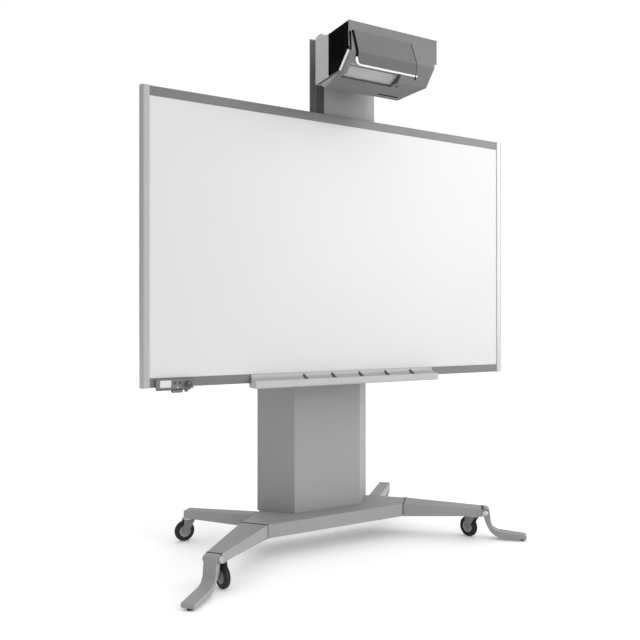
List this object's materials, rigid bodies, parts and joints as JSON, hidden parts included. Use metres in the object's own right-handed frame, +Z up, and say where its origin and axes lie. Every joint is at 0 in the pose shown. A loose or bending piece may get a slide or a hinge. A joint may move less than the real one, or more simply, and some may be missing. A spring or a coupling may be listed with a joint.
{
  "type": "rolling whiteboard",
  "caption": "Rolling interactive whiteboard on a height-adjustable stand with an over-board short-throw projector, pen tray, swivel casters and anti-tip feet.",
  "frame": {"origin": "on the floor, at the middle of the whole stand's outline", "axes": "+Z up, +X along the board to the viewer's right, -Y towards the viewer; Z is the longest extent and Y the shortest"},
  "size_m": [1.969, 0.978, 2.424],
  "materials": {
    "frame_grey": "fine satin powder coat",
    "cover_grey": "fine satin powder coat",
    "mast_grey": "fine satin powder coat",
    "cap_grey": "matte",
    "bracket_black": "satin black",
    "lift_steel": "anodised",
    "bright_steel": "zinc plated",
    "nut_bronze": "machined",
    "fork_grey": "satin",
    "hub_grey": "moulded",
    "tyre_black": "rubber tread",
    "pad_rubber": "moulded rubber",
    "board_white": "low-glare gloss",
    "panel_core": "grey backed fibreboard",
    "rail_grey": "satin anodised",
    "stile_silver": "satin anodised",
    "tray_silver": "satin anodised",
    "divider_grey": "moulded",
    "tray_cap": "moulded",
    "control_dark": "moulded",
    "button_black": "moulded",
    "projector_grey": "fine texture",
    "projector_light": "fine texture",
    "vent_black": "fine texture",
    "door_grey": "satin",
    "trim_white": "gloss",
    "window_glass": "coated",
    "mirror_silver": "polished",
    "engine_dark": "matte"
  },
  "bodies": {
    "base": {"base_beam": "frame_grey", "front_leg_left": "frame_grey", "front_leg_right": "frame_grey", "rear_leg_left": "frame_grey", "rear_leg_right": "frame_grey", "leg_bolts": "bright_steel", "foot_pivot_bolts": "bright_steel", "caster_stems": "bright_steel", "column_cover": "cover_grey", "column_back_panel": "cover_grey", "column_top_cap": "cap_grey", "lift_outer_column": "lift_steel", "lift_motor": "bracket_black"},
    "board_carriage": {"lift_inner_column": "lift_steel", "spindle_nut": "nut_bronze", "carriage_bracket": "bracket_black", "mast_front_shell": "cover_grey", "mast_back_cover": "mast_grey", "mast_top_cap": "cap_grey", "board_brackets": "bracket_black", "writing_surface": "board_white", "board_core": "panel_core", "top_rail": "rail_grey", "bottom_rail": "rail_grey", "side_stile_left": "stile_silver", "side_stile_right": "stile_silver", "pen_tray": "tray_silver", "tray_end_caps": "tray_cap", "tray_dividers": "divider_grey", "control_box": "control_dark", "control_ports": "control_dark", "projector_boom": "bracket_black", "projector_shell": "projector_grey", "projector_rear_cover": "projector_light", "side_vent_panels": "vent_black", "projector_trim": "trim_white", "projection_window": "window_glass", "projection_mirror": "mirror_silver", "light_engine": "engine_dark"},
    "spindle": {"lift_spindle": "bright_steel"},
    "foot_left": {"foot_arm_left": "frame_grey", "foot_pad_left": "pad_rubber"},
    "foot_right": {"foot_arm_right": "frame_grey", "foot_pad_right": "pad_rubber"},
    "volume_knob": {"volume_knob": "button_black"},
    "power_button": {"power_button": "button_black"},
    "input_button": {"input_button": "button_black"},
    "front_door": {"front_door": "door_grey"},
    "fork_front_left": {"caster_fork_front_left": "fork_grey"},
    "wheel_front_left": {"wheel_hub_front_left": "hub_grey", "tyre_front_left": "tyre_black"},
    "fork_front_right": {"caster_fork_front_right": "fork_grey"},
    "wheel_front_right": {"wheel_hub_front_right": "hub_grey", "tyre_front_right": "tyre_black"},
    "fork_rear_left": {"caster_fork_rear_left": "fork_grey"},
    "wheel_rear_left": {"wheel_hub_rear_left": "hub_grey", "tyre_rear_left": "tyre_black"},
    "fork_rear_right": {"caster_fork_rear_right": "fork_grey"},
    "wheel_rear_right": {"wheel_hub_rear_right": "hub_grey", "tyre_rear_right": "tyre_black"}
  },
  "joints": [
    {"name": "board_lift", "type": "slide", "parent": "base", "child": "board_carriage", "axis": [0, 0, 1], "range_m": [-0.15, 0.25]},
    {"name": "spindle_spin", "type": "hinge", "parent": "base", "child": "spindle", "pos_m": [0, 0.1584, 0.6], "axis": [0, 0, 1], "range_deg": [-2710, 4510]},
    {"name": "foot_fold_right", "type": "hinge", "parent": "base", "child": "foot_right", "pos_m": [0.73164, -0.24461, 0.135], "axis": [-0.6657, -0.7462, 0], "range_deg": [0, 95]},
    {"name": "foot_fold_left", "type": "hinge", "parent": "base", "child": "foot_left", "pos_m": [-0.73164, -0.24461, 0.135], "axis": [-0.6657, 0.7462, 0], "range_deg": [0, 95]},
    {"name": "volume_turn", "type": "hinge", "parent": "board_carriage", "child": "volume_knob", "pos_m": [-0.79, -0.1136, 0.839], "axis": [0, -1, 0], "range_deg": [-135, 135]},
    {"name": "power_press", "type": "slide", "parent": "board_carriage", "child": "power_button", "axis": [0, 1, 0], "range_m": [0, 0.0015], "stiffness_N_per_m": 400},
    {"name": "input_press", "type": "slide", "parent": "board_carriage", "child": "input_button", "axis": [0, 1, 0], "range_m": [0, 0.0015], "stiffness_N_per_m": 400},
    {"name": "front_door_hinge", "type": "hinge", "parent": "board_carriage", "child": "front_door", "pos_m": [0, -0.4841, 2.303], "axis": [-1, 0, 0], "range_deg": [0, 80]},
    {"name": "swivel_front_left", "type": "hinge", "parent": "base", "child": "fork_front_left", "pos_m": [-0.68388, -0.20201, 0.106], "axis": [0, 0, 1], "continuous": true},
    {"name": "roll_front_left", "type": "hinge", "parent": "fork_front_left", "child": "wheel_front_left", "pos_m": [-0.68054, -0.22577, 0.05], "axis": [-0.9903, -0.1392, 0], "continuous": true},
    {"name": "swivel_front_right", "type": "hinge", "parent": "base", "child": "fork_front_right", "pos_m": [0.68388, -0.20201, 0.106], "axis": [0, 0, 1], "continuous": true},
    {"name": "roll_front_right", "type": "hinge", "parent": "fork_front_right", "child": "wheel_front_right", "pos_m": [0.68012, -0.1783, 0.05], "axis": [0.9877, 0.1564, 0], "continuous": true},
    {"name": "swivel_rear_left", "type": "hinge", "parent": "base", "child": "fork_rear_left", "pos_m": [-0.59415, 0.4582, 0.106], "axis": [0, 0, 1], "continuous": true},
    {"name": "roll_rear_left", "type": "hinge", "parent": "fork_rear_left", "child": "wheel_rear_left", "pos_m": [-0.61813, 0.45737, 0.05], "axis": [-0.0349, 0.9994, 0], "continuous": true},
    {"name": "swivel_rear_right", "type": "hinge", "parent": "base", "child": "fork_rear_right", "pos_m": [0.59415, 0.4582, 0.106], "axis": [0, 0, 1], "continuous": true},
    {"name": "roll_rear_right", "type": "hinge", "parent": "fork_rear_right", "child": "wheel_rear_right", "pos_m": [0.57159, 0.45, 0.05], "axis": [-0.342, 0.9397, 0], "continuous": true}
  ],
  "couplings": [
    {"joint": "spindle_spin", "follows": "board_lift", "rad_per_m": 314.16}
  ]
}
